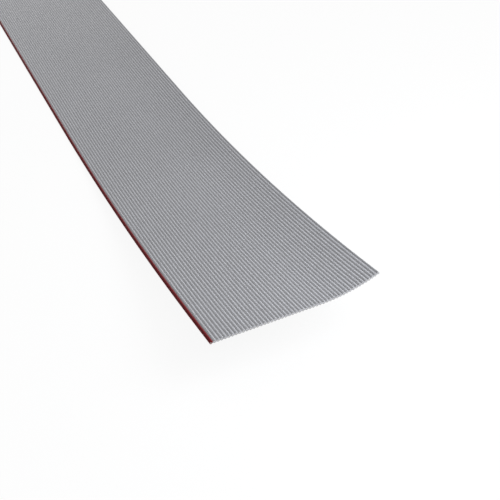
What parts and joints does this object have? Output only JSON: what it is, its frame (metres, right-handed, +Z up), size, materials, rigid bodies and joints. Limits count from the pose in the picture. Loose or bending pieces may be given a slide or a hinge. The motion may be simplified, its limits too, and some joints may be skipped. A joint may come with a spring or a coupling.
{
  "type": "flat ribbon cable",
  "caption": "Flat ribbon cable: tinned conductors side by side in grey PVC with a red edge, cut square at both ends, lying flat with one end curled up.",
  "frame": {"origin": "middle of the cable's box at the level of the surface it lies on", "axes": "+X across the cable, away from the red edge; +Y along the cable, from the end that curls up to the end that lies flat; +Z up"},
  "size_m": [0.0627, 0.5066, 0.0245],
  "materials": {
    "grey_pvc": "satin",
    "red_pvc": "satin",
    "tinned_copper": "satin"
  },
  "bodies": {
    "root": {"grey_insulation": "grey_pvc", "red_edge_insulation": "red_pvc", "conductor_01": "tinned_copper", "conductor_02": "tinned_copper", "conductor_03": "tinned_copper", "conductor_04": "tinned_copper", "conductor_05": "tinned_copper", "conductor_06": "tinned_copper", "conductor_07": "tinned_copper", "conductor_08": "tinned_copper", "conductor_09": "tinned_copper", "conductor_10": "tinned_copper", "conductor_11": "tinned_copper", "conductor_12": "tinned_copper", "conductor_13": "tinned_copper", "conductor_14": "tinned_copper", "conductor_15": "tinned_copper", "conductor_16": "tinned_copper", "conductor_17": "tinned_copper", "conductor_18": "tinned_copper", "conductor_19": "tinned_copper", "conductor_20": "tinned_copper", "conductor_21": "tinned_copper", "conductor_22": "tinned_copper", "conductor_23": "tinned_copper", "conductor_24": "tinned_copper", "conductor_25": "tinned_copper", "conductor_26": "tinned_copper", "conductor_27": "tinned_copper", "conductor_28": "tinned_copper", "conductor_29": "tinned_copper", "conductor_30": "tinned_copper", "conductor_31": "tinned_copper", "conductor_32": "tinned_copper", "conductor_33": "tinned_copper", "conductor_34": "tinned_copper", "conductor_35": "tinned_copper", "conductor_36": "tinned_copper", "conductor_37": "tinned_copper", "conductor_38": "tinned_copper", "conductor_39": "tinned_copper", "conductor_40": "tinned_copper", "conductor_41": "tinned_copper", "conductor_42": "tinned_copper", "conductor_43": "tinned_copper", "conductor_44": "tinned_copper", "conductor_45": "tinned_copper", "conductor_46": "tinned_copper", "conductor_47": "tinned_copper", "conductor_48": "tinned_copper", "conductor_49": "tinned_copper", "conductor_50": "tinned_copper"}
  },
  "joints": []
}
